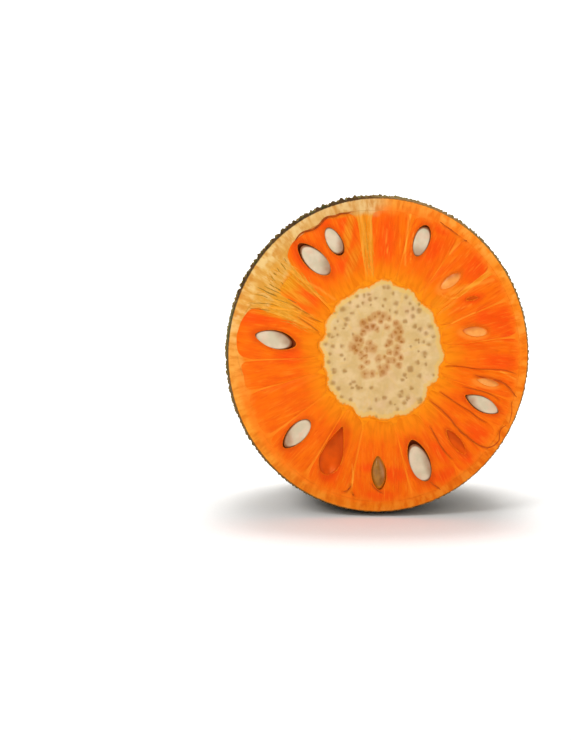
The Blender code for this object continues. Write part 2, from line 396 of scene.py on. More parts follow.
def boxObject(name, low, high):  # a plain cutter, in face millimetres
    corners = [(x, y, z) for x in (low[0], high[0]) for y in (low[1], high[1]) for z in (low[2], high[2])]
    faces = [(0, 1, 3, 2), (4, 6, 7, 5), (0, 4, 5, 1), (2, 3, 7, 6), (0, 2, 6, 4), (1, 5, 7, 3)]
    mesh = bpy.data.meshes.new(name)
    mesh.from_pydata([(Vector(c) + faceMiddle) * mm for c in corners], [], faces)
    return place(name, mesh)


def bake(obj, sharp=None):  # modifiers become the mesh itself
    evaluated = obj.evaluated_get(bpy.context.evaluated_depsgraph_get())
    mesh = bpy.data.meshes.new_from_object(evaluated)
    obj.modifiers.clear()
    old, obj.data = obj.data, mesh
    bpy.data.meshes.remove(old)
    mesh.name = obj.name
    mesh.shade_smooth()
    if sharp:
        mesh.set_sharp_from_angle(angle=math.radians(sharp))


def carve(obj, cutters, sharp):
    for cutter in cutters:
        modifier = obj.modifiers.new(cutter.name, "BOOLEAN")
        modifier.operation = "DIFFERENCE"
        modifier.solver = "EXACT"
        modifier.material_mode = "TRANSFER"
        modifier.object = cutter
    bake(obj, sharp)
    for cutter in cutters:
        bpy.data.objects.remove(cutter)


def dress(obj, finish, slot, *nodes):
    if finish and not obj.data.materials:
        obj.data.materials.append(finish)
    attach(obj, "root")
    if nodes:
        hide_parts(*nodes)
    return obj


wetShine = (1.0, 0.45, 0.12, 1.0)
wallLook = {  # the rind's cut wall by angle
    "colours": (
        (0, "f27c10"), (35, "f18c20"), (71, "f07c1c"), (84, "ee8c2a"), (91, "d6a05a"), (120, "d8aa62"),
        (150, "dca650"), (176, "ea9c40"), (205, "ea8a24"), (268, "e6760f"), (298, "e26e0e"), (360, "f27c10"),
    ),
    "light": (
        (0, "f99c30"), (15, "f8a444"), (60, "faac48"), (86, "f6a03a"), (92, "e8cc90"), (118, "e8cc94"),
        (132, "f0d898"), (165, "f2d898"), (178, "f2ac50"), (210, "f4a034"), (280, "f0942c"), (345, "f49430"),
        (360, "f99c30"),
    ),
    "darkened": "e8c090",
    "flushed": ((0, 1), (86, 1), (94, 0), (180, 0), (200, 1), (360, 1)),  # where it takes the flesh's colour
    "flush": "f87010",
    "ochred": ((0, 0), (92, 0), (100, 1), (165, 1), (176, 0), (360, 0)),  # where its inner side is ochre
    "ochre": "dc9a34",
    "reach": (  # how far it reaches in over the rag, as a share of the way
        (0, 0.02), (97, 0.02), (103, 0.05), (126, 0.09), (138, 0.2), (160, 0.2), (172, 0.03), (360, 0.02),
    ),
}
skinLook = {
    # painted shade: the skin in the creases between the spines, darkest at their feet
    "valley": "221a0c",
    "flank": "6a5428",
    "green": "565a28",
    "tip": "8e7438",
    "point": "4a3418",
    "dry": (
        (0, "8c6836"), (86, "8c6836"), (104, "382818"), (160, "382818"), (176, "5a4024"), (360, "8c6836"),
    ),
    "dryUntil": ((0, 30), (86, 30), (100, 14), (165, 14), (200, 30), (360, 30)),  # from the cut
    "peel": (
        (0, "9a6428"), (70, "9a6a30"), (100, "4e3822"), (160, "5a4028"), (230, "7a5424"), (270, "9a5e20"),
        (360, "9a6428"),
    ),
}


def wallColour(finish):
    streak = finish.streaks(30, 0.1, 4.0)
    patch = finish.streaks(14, 0.16, 4.0)
    cloud = finish.cloud(0.14, 3.0)
    base = finish.around(*wallLook["colours"])
    darker = finish.mix(1.0, base, wallLook["darkened"], "MULTIPLY")
    pale = finish.mix(0.8, base, finish.around(*wallLook["light"]))
    flushed, ochred = (finish.around(*wallLook[key]) for key in ("flushed", "ochred"))
    outward = finish.outward()
    return finish.over(
        base,
        (streak.step(0.45, 0.7) * 0.6, darker),
        (patch.step(0.5, 0.34) * 0.35, darker),
        ((cloud * 0.45 + (1 - streak) * 0.55).step(0.44, 0.62) * 0.65, pale),
        (flushed * outward.step(0.972, 0.925) * (0.25 + patch * 0.7), wallLook["flush"]),
        (ochred * outward.step(0.97, 0.86) * (0.35 + streak * 0.4), wallLook["ochre"]),
    )


def rindFinish():
    finish = Finish("spinyRind", Specular_IOR_Level=0.06)
    tip = finish.attribute("tip")
    patch = finish.cloud(0.035, 3.0)
    speckle = finish.cloud(0.9, 4.0)
    dry = (finish.y + (patch - 0.5) * 60).step(finish.around(*skinLook["dryUntil"]), 0.0)
    # the feet of the spines take the painted shade of the creases between them
    skin = finish.over(
        skinLook["valley"],
        (tip.step(0.0, 0.5), finish.mix(patch.step(0.4, 0.62), skinLook["flank"], skinLook["green"])),
        (tip.step(0.5, 0.8) * 0.8, skinLook["tip"]),
        (tip.step(0.8, 1.0) * 0.7, skinLook["point"]),
        (speckle.step(0.45, 0.75) * 0.4, skinLook["valley"]),
        (dry * (0.45 + speckle * 0.5), finish.around(*skinLook["dry"])),
    )
    peel = (finish.outward() + (speckle - 0.5) * 0.01).step(0.994, 0.999)
    wall = finish.mix(peel, wallColour(finish), finish.around(*skinLook["peel"]))
    cut = finish.y.step(0.12, 0.04)
    grain = finish.streaks(60, 0.3, 3.0)
    height = grain * cut + speckle * (1 - cut)
    return finish.done(finish.mix(cut, skin, wall), 0.8 - cut * 0.3, height, 0.5, 0.6)


ragOchre = (  # angle, and how ochre the rag is there
    (0, 0.05), (8, 0.3), (12, 0.05), (24, 0.3), (31, 0.1), (37, 0.6), (42, 0.1), (55, 0.3), (62, 0.1),
    (76, 0.3), (88, 0.3), (93, 0.7), (98, 0.7), (104, 0.3), (129, 0.5), (133, 0.85), (140, 0.75), (148, 1.0),
    (157, 0.95), (163, 0.4), (200, 0.2), (258, 0.3), (300, 0.05), (360, 0.05),
)


def ragFinish():
    finish = Finish("fibrousRag", Specular_IOR_Level=0.25, Specular_Tint=wetShine)
    fibre = finish.streaks(42, 0.045, 4.0, roughness=0.62)
    blot = finish.cloud(0.22, 3.0)
    way = finish.attribute("way")
    ochre = finish.around(*ragOchre) * (0.45 + 0.55 * way.step(0.2, 0.6))
    inWall = (way + finish.around(*wallLook["reach"]) + (fibre - 0.5) * 0.1).step(0.93, 1.0)
    colour = finish.over(
        finish.mix(fibre.step(0.36, 0.64), "f1660a", "fa7e12"),
        (ochre, finish.mix(fibre.step(0.38, 0.62), "db8a14", "e8a63c")),
        (way.step(0.26, 0.04), finish.mix(blot.step(0.42, 0.66), "f48a10", "e47c0e")),
        (inWall, wallColour(finish)),
        (finish.attribute("pale") * (0.2 + fibre), "fca838"),
        (finish.attribute("crack") * (0.25 + fibre * 0.5), "b84a0a"),
    )
    height = fibre * (0.3 + 0.7 * way.step(0.05, 0.4)) + blot * 0.4
    return finish.done(colour, 0.36 + fibre * 0.2, height, 0.6, 0.8)


podAtWall = ((0, 1), (92, 0.8), (99, 0), (185, 0), (200, 1), (360, 1))  # where pods fade into the wall


def podFinish():
    soft = {"Subsurface_Weight": 0.1, "Subsurface_Radius": (1.0, 0.35, 0.1), "Subsurface_Scale": 2.0 * mm}
    finish = Finish("orangeFlesh", Specular_IOR_Level=0.32, Specular_Tint=wetShine, **soft)
    across, along, way = (finish.attribute(key) for key in ("across", "along", "way"))
    fine, broad, stem = (
        finish.noise(finish.vector(across * a, along * b, way), 1.0, detail=detail)
        for a, b, detail in ((0.9, 0.09, 3.0), (0.22, 0.06, 2.0), (0.3, 0.07, 2.0))
    )
    blot = finish.cloud(0.16, 4.0)
    away = way.step(0.1, 0.5)
    yellow = finish.mix(stem.step(0.36, 0.64), "e47608", "f48a10")
    golden = finish.mix(fine.step(0.35, 0.65), "d8820e", "e89a26")
    atWall = (way + (blot - 0.5) * 0.22 + (fine - 0.5) * 0.1).step(0.9, 1.06) * finish.around(*podAtWall)
    colour = finish.over(
        finish.mix(broad.step(0.3, 0.7), "ec5c08", "f16c08"),
        (finish.attribute("red") * (0.55 + broad * 0.6), "ef4809"),
        (blot.step(0.52, 0.7) * 0.35, "e4540a"),
        (fine.step(0.52, 0.75) * (0.15 + 0.4 * away), "f48422"),
        (fine.step(0.45, 0.25) * (0.05 + 0.4 * away), "dc4e06"),
        ((way + (stem - 0.5) * 0.3).step(0.36, 0.02) * 0.9, yellow),
        (finish.attribute("gold") * (0.4 + fine * 0.8), golden),
        # painted light on the flesh to the lower left of each veiled seed, painted shade above it
        (finish.attribute("glow") * 0.75, "f68a2c"),
        (finish.attribute("shade") * 0.7, "d4540a"),
        (atWall, wallColour(finish)),
        # painted shade on the flesh round the rims of the seed beds and hollows
        (finish.attribute("bruise") * (0.3 + blot * 0.5), "cc3a08"),
        (finish.attribute("pale") * (0.1 + 0.9 * fine), "f99430"),
        (finish.attribute("crack") * (0.2 + fine * 0.5), "c04608"),
    )
    height = fine * (0.35 + 0.65 * away) + stem * 0.4
    return finish.done(colour, 0.22 + fine * 0.26, height, 0.4, 0.8)


bedLooks = {  # the material's name, its rim, its shallow and deep colours, darker inward as painted shade in the recess, and how much painted shade darkens one side
    "cut": ("seedBed", "c25a14", "94401a", "6e2c14", 0.0),
    "veiled": ("veiledBed", "ee6c10", "e8600c", "dc540a", 0.0),
    "glassy": ("glassyBed", "d8640c", "c0540a", "a8440a", 0.0),
    "empty": ("emptyBed", "f0680c", "e0540a", "c24408", 1.0),
}
shadeSides = {  # from where to where painted shade darkens one side of the hollows: x at 7 o'clock, x + z and then z at 5 o'clock
    "left": (-31.0, -25.0),
    "right": (-7.0, -2.0),
    "down": (0.0, -20.0),
}


def bedFinish(name, rim, shallow, deep, oneSideShade):
    finish = Finish(name, Roughness=0.24, Specular_IOR_Level=0.36, Specular_Tint=wetShine)
    cloud = finish.cloud(0.1)
    onLeft = finish.x.step(0.5, -0.5)
    right = (finish.x + finish.z).step(*shadeSides["right"]) * (0.5 + 0.5 * finish.z.step(*shadeSides["down"]))
    side = finish.x.step(*shadeSides["left"]) * onLeft + right * (1 - onLeft)
    inner = finish.mix(cloud.step(0.3, 0.7), shallow, deep)
    # painted shade: darker away from the rim into the bed, and darker still on one side of the empty hollows
    colour = finish.over(rim, (finish.y.step(0.1, 1.2), inner), (side * oneSideShade, deep))
    return finish.done(colour, None, cloud, 0.4, 0.4)


def coreFinish():
    finish = Finish("creamCore", Specular_IOR_Level=0.3)
    cloud = finish.cloud(0.1, 4.0)
    grain = finish.cloud(0.35, 3.0)
    blush = finish.noise(finish.vector(finish.z, finish.x), 0.07, detail=2.0)
    notch = finish.streaks(20, 0.06, 2.0)
    rim = finish.attribute("rim") + (grain - 0.5) * 0.5 + (notch - 0.5) * 0.9
    clump = finish.attribute("clump") * (0.5 + grain * 0.6)
    colour = finish.over(
        finish.mix(cloud.step(0.35, 0.65), "cdab70", "dabb86"),
        (blush.step(0.5, 0.72) * 0.4, "dcb48e"),
        (grain.step(0.5, 0.78) * 0.3, "c4a064"),
        (rim.step(0.0, 0.45) * 0.7, "e0b55e"),
        (finish.attribute("dot") * 0.7, "96662a"),
        (clump, finish.mix(clump, "c67c1c", "96500a")),
        (rim.step(0.66, 0.95), "ea8a14"),
    )
    return finish.done(colour, 0.5 + grain * 0.2, grain, 0.35, 0.6)


seedLooks = {  # the material's name, its pale, dark and mottled colours, its coat's, its shade's (painted shade along the upper edge of the veiled seeds), roughness
    "cut": ("paleSeed", "d7c4a8", "c8ba9c", "d8ae90", "8e5834", "8e5c3c", 0.4),
    "veiled": ("veiledSeed", "f5a24a", "ea903a", "f8b060", "ea7416", "b8500c", 0.35),
    "glassy": ("glassySeed", "aa7228", "8a5618", "b8803a", "d88c20", "c48c5c", 0.12),
}


def seedFinish(name, pale, dark, mottle, coat, shade, rough):
    soft = {"Subsurface_Weight": 0.1, "Subsurface_Scale": 2.0 * mm}
    finish = Finish(name, Roughness=rough, Specular_IOR_Level=0.4, **soft)
    cloud = finish.cloud(0.13)
    speck = finish.noise(finish.vector(finish.z, finish.x, 4.0), 0.17, detail=3.0)
    colour = finish.over(
        finish.mix(cloud.step(0.35, 0.62), dark, pale),
        (speck.step(0.5, 0.7) * 0.5, mottle),
        (finish.attribute("shade") * (0.35 + speck * 0.6), shade),
        (finish.attribute("skin"), coat),
    )
    return finish.done(colour, None, cloud, 0.3, 0.4)


spineNet = {"spacing": 6.4, "jitter": 0.16}  # the jitter as a share of the spacing
spines = {  # the inputs of the spines' tree
    "height": 3.3,
    "shoulder": 0.6,  # share of the base's width where the spine narrows
    "shoulderHeight": 0.5,
    "point": 0.3,
    "unevenness": 0.35,
    "lowUntil": 2.0,  # from the cut, where the spines are still low
    "fullFrom": 50.0,
    "seed": 11,
}
firstRow = {  # the one row at the upper left that stands up beside the cut
    "towards": (-0.57, 0.82),
    "from": 0.76,  # cosine of the angle to that direction
    "full": 0.9,
    "depth": (9.0, 5.0),
}


def spineFeet():
    inset = fruit["skinInset"]
    steps = halfCircle(4001)
    outline = bodyPoints(steps, 0 * steps, inset)
    wide = np.abs(outline[:, 0]) * (1 + fruit["halfHeight"] / fruit["halfWidth"]) / 2
    stretch = np.hypot(np.diff(wide), np.diff(outline[:, 1]))
    area = np.concatenate([[0], np.cumsum(tau * (wide[1:] + wide[:-1]) / 2 * stretch)])
    count = round(area[-1] / (math.sqrt(3) / 2 * spineNet["spacing"] ** 2))
    along = np.interp((np.arange(count) + 0.5) / count * area[-1], area, steps)
    around = np.arange(count) * math.pi * (3 - math.sqrt(5))
    draw = np.random.default_rng(spines["seed"])
    stray = spineNet["jitter"] * spineNet["spacing"]
    around = around + draw.normal(0, stray, count) / np.maximum(np.interp(along, steps, wide), 4)
    along = along + draw.normal(0, stray, count) / fruit["halfLength"]
    feet = bodyPoints(np.clip(along, -math.pi / 2, math.pi / 2), around, inset)
    return feet[feet[:, 1] > -3 * spineNet["spacing"]]


def growSpines(rind, material):  # one spine in each cell of a net between the feet
    tree = Growth("spineTree", "Feet", spines)
    take = tree.take
    hull = tree.add("GeometryNodeConvexHull", None, {0: tree.source})
    cells = tree.add("GeometryNodeDualMesh", None, {0: hull})
    spread = {2: 1 - take["unevenness"], 3: 1.0, "Seed": take["seed"]}
    vigour = tree.add("FunctionNodeRandomValue", {"data_type": "FLOAT"}, spread, out=1)
    x, y, z = tree.parts(tree.add("GeometryNodeInputPosition"))
    x, z = x - faceMiddle.x * mm, z - faceMiddle.z * mm
    back = y / mm - faceMiddle.y
    towardsX, towardsZ = firstRow["towards"]
    upperLeft = (z * towardsZ + x * towardsX) / (x * x + z * z) ** 0.5
    standing = upperLeft.step(firstRow["from"], firstRow["full"]) * back.step(*firstRow["depth"])
    full = back.step(take["lowUntil"], take["fullFrom"])
    vigour = vigour * (0.2 + 0.8 * x.math("MAXIMUM", full, standing))
    store = {"data_type": "FLOAT", "domain": "FACE"}
    grown = tree.add("GeometryNodeStoreNamedAttribute", store, {0: cells, "Name": "vigour", "Value": vigour})
    strength = tree.add("GeometryNodeInputNamedAttribute", {"data_type": "FLOAT"}, {"Name": "vigour"})
    shoulder, top = take["shoulderHeight"], None
    for rise, width, tip in ((shoulder, take["shoulder"], 0.5), (1 - shoulder, take["point"], 1.0)):
        far = take["height"] * rise * strength * mm
        sockets = {"Mesh": grown, "Offset Scale": far, "Selection": top, "Individual": True}
        raised, top = tree.add("GeometryNodeExtrudeMesh", None, sockets, out=("Mesh", "Top"))
        sockets = {0: raised, "Selection": top, "Scale": width}
        narrow = tree.add("GeometryNodeScaleElements", {"domain": "FACE"}, sockets)
        mark = {0: narrow, "Selection": top, "Name": "tip", "Value": tip}
        store = {"data_type": "FLOAT", "domain": "POINT"}
        grown = tree.add("GeometryNodeStoreNamedAttribute", store, mark)
    tree.growOn(rind, grown, material)


def buildRind():
    mesh = bpy.data.meshes.new("rindSkin")
    mesh.from_pydata(((spineFeet() + np.array(faceMiddle)) * mm).tolist(), [], [])
    rind = place("rindSkin", mesh)
    material = rindFinish()
    growSpines(rind, material)
    wide = 400.0
    front = boxObject("beforeTheCut", (-wide, -wide, -wide), (wide, 0.0, wide))
    floor = boxObject("underTheFloor", (-wide, -wide, -wide), (wide, wide, -faceMiddle.z))
    turn = circle(240)[None, :]
    rise = halfCircle(60)[:, None]
    hollow = ringMesh("fleshRoom", fleshPoints(rise, turn))
    for cutter in (front, floor, hollow):
        cutter.data.materials.append(material)
    carve(rind, (front, floor, hollow), sharp=30)
    return dress(rind, None, "rind", "rind")


coreLook = {"rings": 96, "around": 480, "dish": 0.5, "pit": 0.2, "rim": 5.0, "specks": 24, "seed": 5}
# Each dot and clump: x, z and half its width.
coreDots = (
    (-14.7, 42, 1.5), (-6.3, 43.4, 1.4), (-5.6, 39.9, 1.3), (-1.4, 40.6, 1.4), (4.9, 39.9, 1.3),
    (7, 48.3, 1.4), (10.5, 44.1, 1.3), (4.2, 48.3, 1), (-19.6, 37.8, 1.3), (-24.5, 32.9, 2),
    (-14, 35, 1.4), (-10.5, 37.1, 1.1), (-18.2, 30.1, 1.4), (-30.1, 30.8, 1.3), (-21.7, 25.9, 1.7),
    (-22.4, 22.4, 1.5), (-28, 24.5, 1), (-34.3, 14.7, 1.4), (-28, 14.7, 1.4), (-36.4, 8.4, 1.5),
    (-31.5, 7, 1.5), (-25.2, 7, 1.5), (-25.2, 0.7, 1.3), (-34.3, -4.2, 1.3), (-30.8, -9.8, 1.5),
    (-23.1, -10.5, 1.5), (-31.5, -18.9, 1.7), (-27.3, -23.1, 1.5), (-25.2, -28.7, 1.4),
    (-23.8, -34.3, 1.3), (-18.9, -19.6, 1.4), (-16.8, -18.2, 1.3), (-13.3, -22.4, 1.4), (-17.5, -22.4, 1),
    (-18.9, -30.8, 1.4), (-4.2, -22.4, 1.3), (-0.7, -30.8, 1.4), (4.9, -29.4, 1.4), (9.1, -32.9, 1.4),
    (-4.9, -37.1, 1.4), (-0.7, -43.4, 1.4), (16.8, -25.2, 1.4), (16.1, -28, 1.4), (21.7, -29.4, 1.4),
    (18.9, -32.9, 1.4), (30.1, -30.8, 1.7), (30.1, -32.9, 1.3), (23.8, -22.4, 1.3), (18.9, -13.3, 1.3),
    (17.5, -16.8, 1.3), (23.1, -9.1, 2.1), (29.4, -14, 1.7), (28, -4.2, 1.4), (33.6, -5.6, 1),
    (32.9, 2.1, 2.1), (28.7, 3.5, 1), (39.2, -13.3, 1.3), (35.7, 8.4, 1.5), (28.7, 9.8, 1),
    (39.2, 14, 1.3), (33.6, 16.1, 1.4), (29.4, 18.9, 1.7), (36.4, 21, 1.8), (25.9, 21, 1.4),
    (18.9, 24.5, 1.4), (24.5, 28, 1.4), (28.7, 32.2, 1.7), (24.5, 33.6, 1.3), (20.3, 31.5, 1.3),
    (12.6, 37.1, 1.7), (12.6, 30.8, 1.7), (8.4, 32.2, 1.1), (19.6, 41.3, 1.4), (22.4, 37.1, 1),
    (28.7, 36.4, 1),
)
coreClumps = (
    (-9.8, 23.1, 2.2), (-7.7, 20.3, 2.2), (-9.8, 17.5, 1.7), (-5.6, 25.9, 1.4), (-2.1, 28, 1.8),
    (0.7, 30.1, 1.3), (3.5, 28, 2.1), (2.1, 24.5, 1.1), (7.7, 26.6, 1.5), (-11.2, 15.4, 1.1),
    (-14.7, 11.9, 2.1), (-11.9, 11.2, 1.7), (-16.8, 6.3, 2.4), (-14.7, 4.2, 1.8), (-11.9, 2.1, 1.5),
    (-11.2, -1.4, 1.4), (-9.1, 0, 1.3), (-13.3, 7.7, 1.4), (6.3, 20.3, 1.5), (12.6, 23.1, 1.7),
    (14.7, 19.6, 1.8), (16.1, 17.5, 1.4), (12.6, 16.8, 1.8), (14.7, 12.6, 1.8), (16.8, 10.5, 1.5),
    (9.8, 14, 1.3), (8.4, 9.8, 1.7), (6.3, 7.7, 1.3), (14, 5.6, 1.8), (13.3, 2.1, 1.8), (16.1, -0.7, 1.5),
    (11.2, -2.8, 1.7), (14.7, -6.3, 1.5), (8.4, 2.8, 1.4), (7.7, -3.5, 1.7), (6.3, -7.7, 1.8),
    (3.5, -11.2, 2.1), (1.4, -7.7, 1.3), (0.7, -2.1, 1.7), (4.9, -0.7, 1.1), (-3.5, 5.6, 2.1),
    (-5.6, 9.1, 1.5), (-7.7, 4.9, 1.3), (-7.7, -4.2, 1.4), (-11.2, -7.7, 1.3), (-8.4, -12.6, 2),
    (-3.5, -12.6, 1.8), (-0.7, 18.9, 1.4), (-3.5, 21, 1.7),
)


def buildCore():
    turn = circle(coreLook["around"])
    rim = coreReach(turn)
    rings = Rings(turn, "dot", "clump", "rim")
    draw = np.random.default_rng(coreLook["seed"])
    count = coreLook["specks"]
    turns, shares = draw.uniform(0, tau, count), draw.uniform(0.52, 0.93, count)
    far = np.interp(turns, turn, rim, period=tau) * shares
    specks = np.stack([far * np.cos(turns), far * np.sin(turns), draw.uniform(0.8, 1.2, count)], -1)
    allDots = (*coreDots, *specks)
    dots, clumps = ([(x, z, 0, size, size) for x, z, size in spots] for spots in (allDots, coreClumps))
    for share in np.linspace(0, 1, coreLook["rings"]):
        x, z = heartRing(turn, rim, share)
        strayX, strayZ = (a + 0.35 * waves(a, b, 8, 3, 7, 1.0, n) for a, b, n in ((x, z, 23), (z, x, 24)))
        dot = stain(strayX, strayZ, dots, 0.2, 1.7)
        clump = stain(strayX, strayZ, clumps, 0.3, 1.6)
        clump = np.maximum(clump, 0.65 * stain(strayX, strayZ, clumps, 1.0, 2.3))
        uneven = 0.2 * waves(x, z, 8, 9, 30, 1.0, 21) + 0.07 * waves(z, x, 10, 2.2, 6, 1.0, 22)
        y = -coreLook["dish"] * (1 - share**6) + 0.3 * share**16 + uneven * (1 - share**12)
        y = y + coreLook["pit"] * np.maximum(dot, clump)
        nearRim = np.clip(1 + (share * rim - rim) / coreLook["rim"], 0, 1)
        rings.add(x, y, z, dot=dot, clump=clump, rim=nearRim)
    for step in np.linspace(0, 1, 9)[1:]:
        out, back = rounded(step, heart["depth"] - 1)
        back += 0.5
        x, z = heartRing(turn, rim, out, back)
        rings.add(x, back, z, rim=1.0)
    return dress(rings.mesh("coreHeart"), coreFinish(), "core", "core")


# Each line on the cut face: half its width, then x and z of its points.
crackLines = (
    (0.8, -58.1, 80.5, -56, 84, -53.9, 86.1, -50.4, 87.5, -46.2, 88.2, -43.4, 89.6, -40.6, 92.4, -38.5,
     95.2, -36.4, 97.3, -32.9, 98, -30.1, 97.3, -28, 99.4, -25.9, 100.1, -22.4, 99.4, -18.9, 100.8),
    (0.5, 42, 94.5, 44.8, 92.4, 46.9, 90.3, 49.7, 89.6, 51.1, 87.5, 53.9, 86.1, 56, 84),
    (0.55, 58.8, 81.2, 60.2, 81.2, 62.3, 80.5),
    (0.3, 48.3, -7, 54.6, -7, 61.6, -7.7, 68.6, -9.1, 75.6, -9.1, 82.6, -9.1, 89.6, -9.8, 93.8, -11.2,
     97.3, -12.6),
    (0.6, 67.9, -13.3, 72.8, -14.7, 77.7, -15.4, 81.9, -16.8, 86.1, -17.5, 89.6, -19.6, 92.4, -22.4,
     95.2, -25.9, 98, -29.4),
    (0.32, 60.2, -21.7, 66.5, -23.1, 72.1, -24.5, 77, -25.9, 81.9, -28, 85.4, -30.8),
    (0.38, 44.1, -25.2, 51.1, -30.1, 58.1, -35, 65.1, -39.2, 72.1, -44.8, 76.3, -46.9),
    (0.55, 37.1, -31.5, 44.1, -37.1, 49, -42, 52.5, -45.5, 55.3, -49.7, 58.1, -53.2, 63.7, -57.4, 69.3,
     -61.6, 74.2, -64.4, 78.4, -65.1, 82.6, -63, 86.1, -59.5, 85.4, -53.9, 86.8, -51.1, 91, -48.3),
    (0.42, 37.1, -49.7, 41.3, -57.4, 44.8, -63.7, 48.3, -68.6, 52.5, -72.8),
    (0.3, 93.8, -31.5, 94.5, -37.1, 93.8, -42.7, 92.4, -48.3),
    (0.42, -24.5, -96.6, -21.7, -96.6, -18.9, -94.5, -18.2, -91.7),
    (0.45, -17.5, -97.3, -16.1, -100.1),
    (0.42, -4.2, -90.3, -0.7, -95.2, 4.2, -97.3),
    (0.45, 37.1, -88.9, 41.3, -92.4, 45.5, -95.2),
    (0.3, -56, 27.3, -50.4, 23.8, -45.5, 20.3, -41.3, 16.8),
    (0.28, -47.6, 27.3, -43.4, 25.2, -39.2, 23.8),
    (0.28, -60.9, 36.4, -52.5, 31.5, -48.3, 29.4),
)
hairLines = (
    (0.3, -70.9, 62.6, -69.2, 60.4, -68.4, 57.8),
    (0.36, -72.6, 48.8, -69.2, 46.6, -66.5, 44.8),
    (0.34, -78.4, 45.5, -73.6, 43.6, -69.8, 41.2),
    (0.3, -75.8, 56.4, -72.8, 54.4, -71.2, 51.8),
    (0.3, -86.2, 43.4, -81, 42.6, -76.2, 40.4),
    (0.28, -68.2, 52.6, -66.2, 50.4, -64.6, 47.6),
    (0.3, -64, 40.8, -59.4, 38.2, -55.8, 36.8),
    (0.28, -90.2, 33.4, -82.4, 33, -74.6, 31.8),
    (0.3, -68.6, 65.8, -65.8, 63, -63.7, 59.5),
    (0.32, -73.5, 58.8, -70, 56),
    (0.26, -74.9, 53.9, -72.1, 52.5),
    (0.34, -77, 51.1, -74.2, 49.7, -71.4, 47.6),
    (0.34, -84.7, 48.3, -79.8, 46.2, -74.9, 43.4, -71.4, 42),
    (0.3, -80.5, 49.7, -75.6, 46.9, -70, 44.8, -67.2, 42.7),
    (0.24, -91.7, 37.1, -83.3, 37.1, -74.9, 36.4, -66.5, 34.3),
    (0.24, -73.5, 40.6, -67.2, 38.5, -60.9, 36.4),
    (0.22, -65.8, 69.3, -63.7, 65.1),
)
paleLines = (
    (0.3, 18.9, 63.7, 18.9, 73.5, 19.6, 83.3, 21, 93.1, 22.4, 99.4),
    (0.12, 22.4, 65.1, 23.1, 77, 24.5, 87.5),
    (0.16, 6.3, 72.1, 5.6, 80.5, 6.3, 88.9),
    (0.6, 50.4, 44.1, 58.1, 47.6, 66.5, 50.4, 73.5, 51.8, 79.8, 53.9),
    (0.22, -17.5, -77.7, -16.8, -84.7, -17.5, -93.1),
    (0.4, -56, 54.6, -49.7, 51.8, -41.3, 47.6, -34.3, 42.7, -30.1, 39.9),
    (0.2, 42, 44.1, 49.7, 40.6, 55.3, 41.3),
    (0.2, 49, 29.4, 56.7, 33.6, 65.1, 36.4),
    (0.2, 51.8, 23.1, 59.5, 27.3, 67.9, 30.8),
    (0.25, -80.5, 34.3, -70.7, 33.6, -60.9, 32.2, -53.9, 30.1),
    (0.25, 49.7, 71.4, 53.2, 75.6, 56.7, 79.1),
    (0.25, 86.1, -10.5, 91.7, -13.3, 96.6, -16.1),
)

podAngles = (  # start and end of each pod
    (-6.4, 7.4), (9.2, 23.2), (25, 36), (38.6, 54.6), (56.4, 75.4), (77.2, 92.4), (99, 133), (136, 147.5),
    (158, 181), (183, 195), (197, 216), (218, 238.2), (240.2, 257.6), (259.8, 283), (285, 304.2),
    (306, 317.2), (319, 328.2), (330, 341), (342.8, 351.8),
)
# The share of the way from core to rind where a pod ends, and its tilt, if not 0.98 and 0.
podEnds = {7: (0.985, -0.01), 8: (0.72, 0), 17: (0.93, 0)}
podWedges = [  # middle and half width in radians, end and tilt
    (math.radians(start + end) / 2, math.radians(end - start) / 2, *podEnds.get(number, (0.98, 0.0)))
    for number, (start, end) in enumerate(podAngles, 1)
]
podForm = {
    "start": 0.03,  # share of the way from core to rind
    "corners": 6.0,
    "backRound": 2.5,
    "depth": 24.0,
    "swell": 0.75,  # how far each pod grows past its solid, so that neighbours almost touch
    "crown": 0.55,
    "edgeDrop": 0.4,
    "groove": 0.35,  # depth of the cracks, and a little more than the height of the pale seams
    "edgeSharpness": 9.0,
    "ridge": 0.13,
    "lump": 0.24,
    "glow": (-1.6, -1.0),  # where the painted light and the painted shade beside a veiled seed lie from it
    "shade": (0.6, 1.5),
    "sections": 76,
    "frontStep": 0.7,
    "fewest": 26,  # points across the front
    "backs": 14,
    "seed": 40,
}
# x, z, lean, half length, half width, depth, where and how far the bed slips, almond, coat's side (for veiled
# seeds the side of their painted shade), kind
seedList = (
    (-43.5, 66.9, -44, 12.8, 6.5, 0.5, 140, 1.6, 0.14, -20, "cut"),
    (-31, 80.8, -61, 9.6, 5, 0.5, 310, 0.7, 0.06, -25, "cut"),
    (29.8, 80, 72, 10, 5.2, 0.5, 75, 0.8, 0.05, -100, "cut"),
    (50.6, 52.6, 38, 8.8, 3.9, 4, 100, 0.25, 0.2, 85, "veiled"),
    (68, 17.4, -4, 8.8, 3.9, 4, 120, 0.25, 0.15, 110, "veiled"),
    (73.8, -33.8, -27, 12, 5, 0.5, 165, 0.6, 0.4, 185, "cut"),
    (30, -76, -69, 13.2, 6.9, 0.5, 100, 2, 0.15, 15, "cut"),
    (0.7, -82.6, -86, 12, 5.4, 4.2, 320, 0.7, 0.3, 20, "glassy"),
    (-73.3, 11.4, -14, 12.6, 6.1, 0.5, 5, 1.8, 0.25, 20, "cut"),
    (77.4, -18.4, -14, 8.2, 2.8, 2.8, 80, 0.2, 0.35, 40, "veiled"),
    (-56, -55, 47, 12, 6, 0.5, 200, 0.8, 0.15, 200, "cut"),
)
emptyBeds = (  # x, z, lean, half length, half width, depth, almond, taper
    (-30.6, -67, 70, 18.6, 7.2, 3.6, 0.2, 0.55),
    (55.6, -60.8, -52, 11, 3.6, 1.9, 0.3, 0),
    (65.8, 40.6, 10, 4.6, 1.5, 0.7, 0.3, 0),
)
